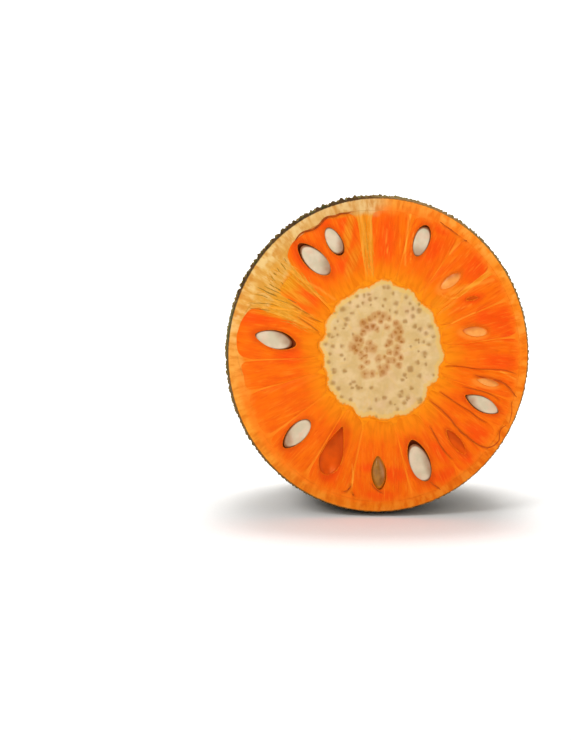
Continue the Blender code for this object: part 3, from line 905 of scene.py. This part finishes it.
# the last value is how far the painted shade round the beds' rims reaches
bed = {"room": 0.4, "softRoom": -0.12, "tips": 1.6, "thickness": 0.85, "taper": -0.08, "bruise": 1.45}
seedForm = {"ledge": 1.08, "foot": 0.7, "blunt": 0.88, "taper": 0.08, "lump": 0.12, "lean": 0.3}
goldPatches = (  # x, z, lean, half length, half width, strength
    (-70, 57, -40, 18, 12, 1.3), (-57, 42, -32, 14, 3, 0.8), (-52, 50, -38, 12, 2.5, 0.8),
    (-62, 27.5, -8, 24, 2.2, 0.8), (-52, 22, -30, 10, 2.2, 0.7), (-27, 99, 10, 9, 2.4, 0.8),
    (-21, 86, 80, 16, 3.2, 0.7), (-18, 66, 70, 12, 4, 0.6), (46, 38, 30, 9, 6, 0.4),
    (57, 47, 14, 10, 3, 0.5),
)
redPatches = (  # x, z, lean, half length, half width
    (70.7, 65.1, 40, 14, 9.1), (66.5, 40.6, 20, 7, 3.5), (88.2, 25.9, 10, 11.2, 9.8),
    (75.6, 28, 10, 8.4, 5.6), (86.1, -3.5, -3, 14, 5.6), (5.6, 80.5, 86, 18.2, 6.3),
    (-53.9, 69.3, -60, 11.2, 4.9), (-38.5, 93.1, 30, 6.3, 3.5), (-22.4, 90.3, -60, 8.4, 5.6),
    (38.5, 74.9, 60, 9.8, 5.6), (-22.4, 63.7, 30, 9.8, 6.3), (-49.7, 39.9, -30, 9.1, 6.3),
    (-85.4, 25.9, -4, 18.2, 4.2), (-59.5, -0.7, 0, 11.2, 5.6), (-32.9, -81.9, 70, 8.4, 7),
    (2.1, -100.1, 0, 12.6, 4.2), (-3.5, -79.1, 90, 3.5, 9.8), (12.6, -84, 90, 5.6, 11.2),
    (72.1, -56, -38, 12.6, 7), (44.1, -67.9, -55, 9.8, 4.2), (51.1, -84.7, 10, 14, 6.3),
    (63, -72.1, -45, 7, 4.2), (44.1, 88.9, -30, 7, 4.2), (92, 15, 0, 6, 5),
)


def seedBeds():  # x, z, lean, half length, half width, half depth, almond, taper, kind
    beds = []
    for x, z, lean, long, wide, behind, side, slip, almond, coatAndShadeSide, kind in seedList:
        asideX, asideZ = (slip * f(math.radians(side)) for f in (math.cos, math.sin))
        along = abs(math.cos(math.radians(side - lean))) * slip
        room, deep = bed["room"], wide * bed["thickness"]
        if kind != "cut":
            room, deep = bed["softRoom"], behind + deep
        sizes = (long + along + room * bed["tips"], wide + room, deep + room)
        beds.append((x + asideX, z + asideZ, lean, *sizes, almond, bed["taper"], kind))
    return beds + [(*sizes, "empty") for sizes in emptyBeds]


def egg(name, oval):  # an almond-shaped room
    x, z, lean, long, wide, deep, almond, taper, kind = oval
    turn = circle(64)[None, :]
    rise = halfCircle(31)[:, None]
    along = long * np.cos(rise) * np.cos(turn)
    pinch = 1 - almond * (along / long) ** 2 - taper * along / long
    across = wide * np.cos(rise) * np.sin(turn) * pinch
    x, z = leant(x, z, lean, along, across)
    return ringMesh(name, np.stack(np.broadcast_arrays(x, deep * np.sin(rise), z), -1))


def besideVeiled(right, up):  # the veiled seeds' ovals, moved a little, for the painted light and painted shade beside them
    return [(x + right, z + up, *sizes[:3]) for x, z, *sizes in seedList if sizes[-1] == "veiled"]


def buildPod(number, wedge, beds, finish, linings):
    middle, half, outer, tilt = wedge
    inner = podForm["start"]
    inside = [oval for oval in beds if abs(math.atan2(oval[1], oval[0]) % tau - middle) < half]
    reachMiddle = wayOut(middle, (inner + outer) / 2)
    fronts = max(podForm["fewest"], round(2 * half * reachMiddle / podForm["frontStep"]))
    half += podForm["swell"] / reachMiddle
    length = wayOut(middle, outer) - wayOut(middle, inner)
    w = -np.cos(np.linspace(0, math.pi, podForm["sections"]))[:, None]
    narrow, shallow = ((1 - np.abs(w) ** p) ** (1 / p) for p in (podForm["corners"], podForm["backRound"]))
    uFront = np.sin(halfCircle(fronts))
    turn = np.linspace(0, math.pi, podForm["backs"] + 2)[1:-1]
    power = 2 / podForm["backRound"]
    uBack, deep = signedPower(np.cos(turn), power), np.sin(turn) ** power
    u = np.tile(np.concatenate([uFront, uBack]), (podForm["sections"], 1))
    seed = podForm["seed"] + 3 * number
    draw = np.random.default_rng(seed)
    angle = middle + half * u * narrow
    span = (outer - inner) / 2 + podForm["swell"] / length
    way = (inner + outer) / 2 + span * w + tilt * u * narrow * (w + 1) / 2
    reach = wayOut(angle, way)
    across = (angle - middle) * reach
    full = narrow**0.5
    calm = 0.25 + 0.75 * smoothStep(way, 0.0, 0.4)
    level = full * (1 - np.abs(u) ** podForm["edgeSharpness"])
    ridges = podForm["ridge"] * calm * waves(across, reach, 9, 2.2, 8.0, 0.10, seed)
    lumps = podForm["lump"] * waves(across, reach, 4, 16, 34, 1.0, seed + 1)
    sway = draw.uniform(-0.3, 0.3) * u + draw.uniform(-0.2, 0.2)
    clear = smoothStep(way, 0.95, 0.8)  # of the wall, which the pods meet level
    y = podForm["edgeDrop"] * (1 - level) * clear - 0.04 * (1 - clear)
    y = y - podForm["crown"] * full * clear * (1 - u**2) + (ridges + lumps + sway) * level * clear
    x, z = reach * np.cos(angle), reach * np.sin(angle)
    crack, pale = (besideLines(x, z, lines) for lines in (crackLines, paleLines))
    y = y + podForm["groove"] * (crack - 0.6 * pale) * level
    y[:, fronts:] = podForm["edgeDrop"] + podForm["depth"] * (deep * shallow)
    attributes = {
        "across": across + 40.0 * number,
        "along": reach,
        "way": (way - inner) / (outer - inner),
        # painted shade round the rims of the cut seeds' beds and the hollows
        "bruise": stain(x, z, [oval for oval in beds if oval[-1] in ("cut", "empty")], 1.0, bed["bruise"]),
        "red": stain(x, z, redPatches, 0.3, 1.5),
        "gold": stain(x, z, goldPatches, 0.5, 1.4),
        # painted light and painted shade beside the veiled seeds
        "glow": stain(x, z, besideVeiled(*podForm["glow"]), 0.9, 1.5),
        "shade": stain(x, z, besideVeiled(*podForm["shade"]), 0.85, 1.4),
        "crack": crack,
        "pale": pale,
    }
    rings = np.stack([x, y, z - np.clip(y, 0, None) * droop], -1)
    pod = ringMesh(f"fleshPod{number:02d}", rings, attributes)
    pod.data.materials.append(finish)
    cutters = [egg(f"seedRoom{number}{i}", oval) for i, oval in enumerate(inside)]
    for cutter, oval in zip(cutters, inside):
        cutter.data.materials.append(linings[oval[-1]])
    if cutters:
        carve(pod, cutters, sharp=50)
    return dress(pod, None, "pod", f"pod_{number:02d}")


def buildSeed(number, sizes, coats):
    x, z, lean, long, wide, behind, side, slip, almond, coatAndShadeSide, kind = sizes
    deep = wide * bed["thickness"]
    turn = circle(72)[None, :]
    flat, curved = np.linspace(0, 1, 26), np.linspace(0, math.pi / 2, 14)
    foot, ledge, coatFrom = seedForm["foot"], seedForm["ledge"], 0.9
    front = 0.6 * flat**6 - 0.4
    if kind != "cut":  # whole, with a domed front that fills its bed
        front = behind - deep + (2.4 * flat**2 if kind == "glassy" else 0.6 * flat**3 - 1.15)
        foot, ledge, coatFrom = front[-1] + 0.1, 1.0, 0.72
    share = np.concatenate([flat, ledge * np.cos(curved)])[:, None]
    y = np.concatenate([front, foot + (behind + deep - foot) * np.sin(curved)])[:, None]
    skin = np.concatenate([smoothStep(flat, coatFrom, 1.0), np.ones(14)])[:, None] + 0 * turn
    blunt = seedForm["blunt"]  # a little squarer than an oval
    along, across = (a * share * signedPower(f(turn), blunt) for a, f in ((long, np.cos), (wide, np.sin)))
    across = across * (1 - almond * (along / long) ** 2 + seedForm["taper"] * along / long)

    def towards(degrees):  # -1 to 1 from one edge of the seed to the other
        angle = math.radians(degrees - lean)
        return along / long * math.cos(angle) + across / wide * math.sin(angle)

    # darker toward that side: the coat on cut seeds, painted shade on veiled ones
    shade = smoothStep(towards(coatAndShadeSide), -0.1 if kind == "veiled" else 0.1, 0.85)
    if kind == "veiled":  # proud of its bed on one side, under its edge on the other
        y = y + seedForm["lean"] * towards(side)
    y = y + 0 * turn + seedForm["lump"] * waves(along, across, 5, 6, 18, 1.0, 300 + number) * (share < 0.97)
    x, z = leant(x, z, lean, along, across)
    seed = ringMesh(f"seed{number:02d}", np.stack([x, y, z], -1), {"skin": skin, "shade": shade})
    return dress(seed, coats[kind], "seed", f"seed_{number:02d}")


rag = {"recess": 0.5, "wideRecess": 0.15, "fibre": 0.14, "pocket": 14.0, "around": 840, "across": 52}
wideBands = ((93.5, 98.0), (134.0, 136.0), (148.5, 157.0), (36.5, 38.2))


def buildRag():
    turn = circle(rag["around"])
    degrees = np.degrees(turn)
    reachCore, reachFlesh = coreReach(turn), fleshReach(turn)
    rings = Rings(turn, "way", "crack", "pale")
    for step in np.linspace(1, 0, 7)[:-1]:  # the core's hollow, from its end to the face
        out, back = rounded(step, heart["depth"] + 0.3)
        x, z = heartRing(turn, reachCore + 0.3, out, back)
        rings.add(x, back, z)
    inWide = 0 * turn
    for start, end in wideBands:
        inWide = np.maximum(inWide, smoothStep(degrees, start - 2, start) * smoothStep(degrees, end + 2, end))
    low = rag["recess"] + (rag["wideRecess"] - rag["recess"]) * inWide
    inner = podForm["start"]
    for way in np.linspace(0, 1, rag["across"]):
        reach = reachCore - 0.1 + way * (reachFlesh + 0.5 - reachCore)
        level = 1 - smoothStep(way, 0.93, 0.985)
        y = low * (1 - smoothStep(way, 0.9, 0.985)) + 0.02
        y = y + rag["fibre"] * level * (1 + inWide) * waves(turn * 70, reach, 10, 1.6, 5.0, 0.05, 77)
        y = y * smoothStep(way, -0.02, 0.14) + 0.3 * (1 - smoothStep(way, 0.0, 0.03))
        for middle, half, outer, tilt in podWedges:
            off = ((turn - middle + math.pi) % tau - math.pi) / half
            w = (way - tilt * off - (inner + outer) / 2) / ((outer - inner) / 2)
            near = np.abs(off) ** podForm["corners"] + np.abs(w) ** podForm["corners"]
            y = y + rag["pocket"] * (1 - smoothStep(near, 0.35, 0.9))
        x, z = reach * np.cos(turn), reach * np.sin(turn)
        crack, pale = (besideLines(x, z, lines) for lines in (crackLines, paleLines))
        y = y + podForm["groove"] * (crack - 0.6 * pale) * level
        rings.add(x, y, z, way=way, crack=crack, pale=pale)
    length = fruit["halfLength"] - fruit["rindThickness"] - 0.3
    first = -math.asin((fruit["cutBeforeMiddle"] / length) ** (fruit["bluntness"] / 2))
    for rise in np.linspace(first, math.pi / 2, 24):  # inside the rind, to the tail
        x, y, z = fleshPoints(rise + 0 * turn, turn, 0.3).T
        rings.add(x, y + 0.3 * (rise == first), z, way=1.0)
    return dress(rings.mesh("ragFibres"), ragFinish(), "rag", "rag")


strandForm = {"step": 0.8, "sides": 8, "wander": 0.5, "bends": 0.35, "ease": 2}
crackTints = (
    (0, "b8480c"), (96, "a8480e"), (100, "92400e"), (128, "92400e"), (134, "a86a18"), (162, "a86a18"),
    (170, "b8480c"), (360, "b8480c"),
)
bundles = {"count": 150, "seed": 8, "width": (0.1, 0.2), "length": (8.0, 26.0), "lean": 2.5}
fibreBands = (  # start and end angle, nearest and farthest reach, share of the strands
    (148, 158, 50, 96, 0.42),
    (134, 147, 80, 98, 0.16),
    (93, 98.5, 52, 98, 0.22),
    (133, 136.5, 50, 92, 0.12),
    (157.5, 160, 48, 74, 0.06),
)


def growStrands(obj, sunk, material, pieces):  # tubes along the object's lines, laid on the pieces
    tree = Growth("strandTree", "Lines", {**strandForm, "sunk": sunk})
    take = tree.take
    curve = tree.add("GeometryNodeMeshToCurve", None, {0: tree.source})
    sockets = {"Curve": curve, "Length": take["step"] * mm}
    curve = tree.add("GeometryNodeResampleCurve", {"mode": "LENGTH"}, sockets)
    x, y, z = tree.parts(tree.add("GeometryNodeInputPosition"))
    spots = [tree.vector(x / mm + far, z / mm) for far in (0, 90)]
    bends = [tree.noise(spot, take["bends"], detail=1.0) - 0.5 for spot in spots]
    wide = take["wander"] * (2 * mm)
    before = tree.vector(x + wide * bends[0], -0.3, z + wide * bends[1])
    surface = tree.add("GeometryNodeCollectionInfo", None, {"Collection": pieces})
    surface = tree.add("GeometryNodeRealizeInstances", None, {0: surface})
    aim = {"Source Position": before, "Ray Direction": (0, 1, 0), "Ray Length": 0.5}
    hit = tree.add("GeometryNodeRaycast", None, {"Target Geometry": surface, **aim}, out="Hit Position")
    x, y, z = tree.parts(hit)
    laid = tree.vector(x, y + take["sunk"] * mm, z)
    curve = tree.add("GeometryNodeSetPosition", None, {"Geometry": curve, "Position": laid})
    sockets = {"Value": tree.add("GeometryNodeInputPosition"), "Iterations": take["ease"]}
    eased = tree.add("GeometryNodeBlurAttribute", {"data_type": "FLOAT_VECTOR"}, sockets)
    curve = tree.add("GeometryNodeSetPosition", None, {"Geometry": curve, "Position": eased})
    width = tree.add("GeometryNodeInputNamedAttribute", {"data_type": "FLOAT"}, {"Name": "width"})
    ring = tree.add("GeometryNodeCurvePrimitiveCircle", None, {"Resolution": take["sides"], "Radius": 1.0})
    sockets = {"Curve": curve, "Profile Curve": ring, "Scale": width * mm, "Fill Caps": True}
    tree.growOn(obj, tree.add("GeometryNodeCurveToMesh", None, sockets), material)


def layStrands(name, lines, material, sunk, pieces):
    points, edges, widths = [], [], []
    for width, *path in lines:
        path = np.reshape(path, (-1, 2))
        far = np.concatenate([[0], np.cumsum(np.hypot(*np.diff(path, axis=0).T))])
        at = np.linspace(0, far[-1], max(4, round(far[-1] / 1.5)))
        x, z = (np.interp(at, far, path[:, i]) for i in (0, 1))
        for _ in range(2):  # round off the corners
            x[1:-1], z[1:-1] = ((v[:-2] + 2 * v[1:-1] + v[2:]) / 4 for v in (x, z))
        edges += [(len(points) + i, len(points) + i + 1) for i in range(len(at) - 1)]
        points += [(Vector((a, -20.0, b)) + faceMiddle) * mm for a, b in zip(x, z)]
        share = at / far[-1]
        widths += list(width * (0.25 + 0.75 * np.sin(math.pi * share) ** 0.5))
    mesh = bpy.data.meshes.new(name)
    mesh.from_pydata(points, edges, [])
    mesh.attributes.new("width", "FLOAT", "POINT").data.foreach_set("value", np.array(widths, np.float32))
    obj = place(name, mesh)
    growStrands(obj, sunk, material, pieces)
    bake(obj)
    dress(obj, None, "rag")


def fibreLines():
    draw = np.random.default_rng(bundles["seed"])
    lines = []
    for start, end, nearest, farthest, share in fibreBands:
        for _ in range(round(bundles["count"] * share)):
            angle = math.radians(draw.uniform(start, end))
            first = draw.uniform(nearest, farthest - 6)
            last = min(farthest, first + draw.uniform(*bundles["length"]))
            lean = math.radians(draw.uniform(-bundles["lean"], bundles["lean"]))
            reach = np.linspace(first, last, 6)
            turned = angle + lean * np.linspace(-1, 1, 6)
            points = [(r * math.cos(a), r * math.sin(a)) for r, a in zip(reach, turned)]
            lines.append((draw.uniform(*bundles["width"]), *np.ravel(points)))
    return lines


def strandFinish(name, tints, second, rough):  # tints: one colour, or stops by angle
    finish = Finish(name, Roughness=rough, Specular_IOR_Level=0.15)
    cloud = finish.cloud(0.25, 3.0)
    first = tints if isinstance(tints, str) else finish.around(*tints)
    return finish.done(finish.mix(cloud.step(0.4, 0.8), first, second))


view = {
    "azimuth": -1.4,  # degrees, negative is from the left
    "elevation": 6.8,
    "distance": 1500.0,
    "pixelSize": 0.701,  # millimetres of the cut face for each picture pixel
    "frame": (571, 741),
    "discPixel": (377.6, 355.6),
}
studio = {
    "paper": "f6f5f3",
    "halfWidth": 3.0,  # metres, as all of the studio
    "floor": (-2.5, 0.9),
    "bend": 1.0,
    "top": 3.0,
    "world": 0.4,
    "fruit": (0, -0.03, 0.11),
}
lights = {  # place, aim, size and power
    "keyLight": ((-0.9, -1.3, 1.2), studio["fruit"], 0.8, 15.0),
    "glintLight": ((-0.35, -1.5, 0.55), studio["fruit"], 0.22, 2.2),
    "fillLight": ((1.2, -1.2, 0.5), studio["fruit"], 1.0, 2.5),
    "topLight": ((0.2, 0.5, 1.5), studio["fruit"], 1.0, 7.0),
    "backLight": ((0.0, 0.6, 1.7), (0.0, 1.9, 0.5), 1.2, 34.0),
}


def pointAt(obj, aim):
    obj.rotation_euler = (Vector(aim) - obj.location).to_track_quat("-Z", "Y").to_euler()


def placeCamera():
    camera = place("camera", bpy.data.cameras.new("camera"))
    side, up = math.radians(view["azimuth"]), math.radians(view["elevation"])
    toCamera = Vector((math.sin(side) * math.cos(up), -math.cos(side) * math.cos(up), math.sin(up)))
    disc = faceMiddle * mm
    camera.location = disc + toCamera * view["distance"] * mm
    right = toCamera.cross(Vector((0, 0, -1))).normalized()
    over = right.cross(-toCamera).normalized()
    offX = view["discPixel"][0] - view["frame"][0] / 2
    offY = view["frame"][1] / 2 - view["discPixel"][1]
    pointAt(camera, disc - (right * offX + over * offY) * view["pixelSize"] * mm)
    camera.data.sensor_width = 36.0
    camera.data.lens = 36.0 * view["distance"] / (view["frame"][1] * view["pixelSize"])
    camera.data.clip_start, camera.data.clip_end = 0.05, 20.0
    bpy.context.scene.camera = camera


def buildStage():
    paper = Finish("palePaper", Roughness=0.8)
    colour = paper.mix(paper.cloud(0.6), studio["paper"], "ffffff")
    bend, (front, back) = studio["bend"], studio["floor"]
    profile = [(front, 0.0), (back, 0.0)]
    angles = np.linspace(0.1, math.pi / 2, 14)
    profile += [(back + bend * math.sin(a), bend - bend * math.cos(a)) for a in angles]
    profile.append((back + bend, studio["top"]))
    points = [(x, y, z) for y, z in profile for x in (-studio["halfWidth"], studio["halfWidth"])]
    faces = [(2 * i, 2 * i + 1, 2 * i + 3, 2 * i + 2) for i in range(len(profile) - 1)]
    mesh = bpy.data.meshes.new("paperSweep")
    mesh.from_pydata(points, [], faces)
    mesh.shade_smooth()
    mesh.materials.append(paper.done(colour))
    place("paperSweep", mesh)
    world = bpy.data.worlds.new("studioWorld")
    world.use_nodes = True
    background = world.node_tree.nodes["Background"].inputs
    background["Color"].default_value = (1, 1, 1, 1)
    background["Strength"].default_value = studio["world"]
    bpy.context.scene.world = world
    for name, (spot, aim, size, power) in lights.items():
        lamp = bpy.data.lights.new(name, "AREA")
        lamp.shape, lamp.size, lamp.energy = "DISK", size, power
        obj = place(name, lamp)
        obj.location = spot
        pointAt(obj, aim)
    bpy.context.scene.view_settings.view_transform = "Standard"


rind = buildRind()
print("rind grown")
core, body = buildCore(), buildRag()
print("core and rag laid")
beds = seedBeds()
linings = {kind: bedFinish(*look) for kind, look in bedLooks.items()}
coats = {kind: seedFinish(*look) for kind, look in seedLooks.items()}
flesh = podFinish()
pods = [buildPod(number, wedge, beds, flesh, linings) for number, wedge in enumerate(podWedges, 1)]
for number, seedSizes in enumerate(seedList, 1):
    buildSeed(number, seedSizes, coats)
print("pods and seeds set in")
ground = bpy.data.collections.new("cutSurface")
for piece in (*pods, core, body, rind):
    ground.objects.link(piece)
layStrands("darkCracks", crackLines, strandFinish("crackShade", crackTints, "c85c10", 0.7), 0.1, ground)
layStrands("brownHairs", hairLines, strandFinish("hairShade", "94681e", "b8842c", 0.6), 0.1, ground)
layStrands("fineFibres", fibreLines(), strandFinish("fibreShade", "d48c1c", "ecae48", 0.5), 0.06, ground)
bpy.data.collections.remove(ground)
print("cracks, hairs and fibres laid")
placeCamera()
buildStage()

print("stage, camera and light ready")
